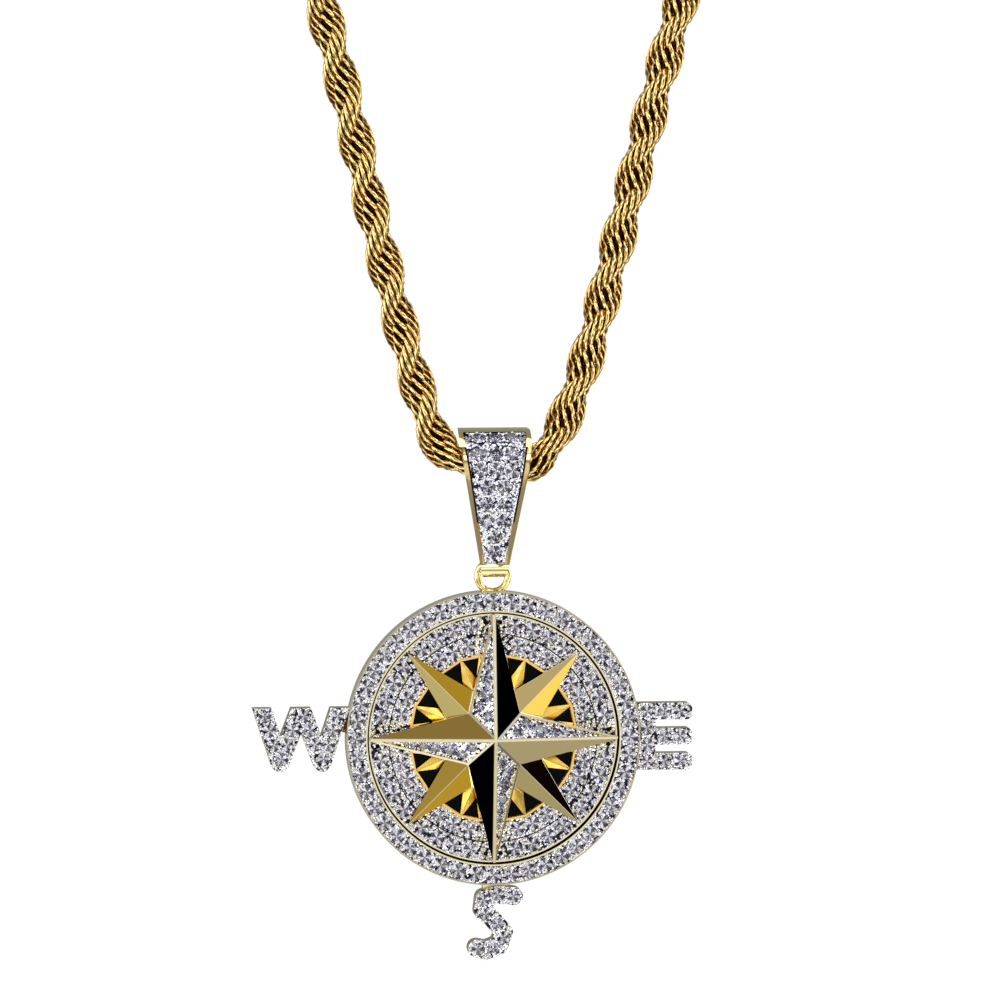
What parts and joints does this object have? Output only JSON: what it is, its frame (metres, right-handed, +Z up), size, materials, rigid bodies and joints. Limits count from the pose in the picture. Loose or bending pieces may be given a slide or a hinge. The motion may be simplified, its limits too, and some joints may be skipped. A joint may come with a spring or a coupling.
{
  "type": "compass pendant",
  "caption": "Round compass pendant with a raised star, black enamel, pave stones and letters W, E and S, hanging by a tapering bail on a gold rope chain.",
  "frame": {"origin": "middle of the chain at the nape of the neck, where the necklace hangs", "axes": "+Z up along the hanging pendant, +X towards the wearer's left (the E side), -Y the front that the viewer sees"},
  "size_m": [0.12, 0.0991, 0.2695],
  "materials": {
    "rope_gold": "polished gold plate on a rope of fine wire links",
    "plain_gold": "polished gold plate",
    "bail_gold": "polished gold plate, pale rhodium plate in the stones' panel",
    "body_gold": "polished gold plate, pale rhodium plate on the faces that hold stones",
    "star_gold": "mirror polished gold plate, pale rhodium plate in the sunk halves",
    "rich_gold": "brushed deep yellow gold plate",
    "black_enamel": "glossy black enamel",
    "crystal": "clear cut cubic zirconia"
  },
  "bodies": {
    "necklace": {"chain": "rope_gold", "clasp": "plain_gold"},
    "bail": {"bail": "bail_gold", "bail_stones": "crystal"},
    "pendant": {"compass_body": "body_gold", "enamel": "black_enamel", "small_rays": "rich_gold", "compass_star": "star_gold", "star_stones": "crystal", "rim_stones": "crystal", "field_stones": "crystal", "letter_stones": "crystal"}
  },
  "joints": [
    {"name": "bail_swing", "type": "hinge", "parent": "necklace", "child": "bail", "pos_m": [0, -0.092, -0.215], "axis": [1, 0, 0], "range_deg": [-90, 90]},
    {"name": "pendant_swing", "type": "hinge", "parent": "bail", "child": "pendant", "pos_m": [0, -0.092, -0.2247], "axis": [1, 0, 0], "range_deg": [-30, 30]}
  ]
}
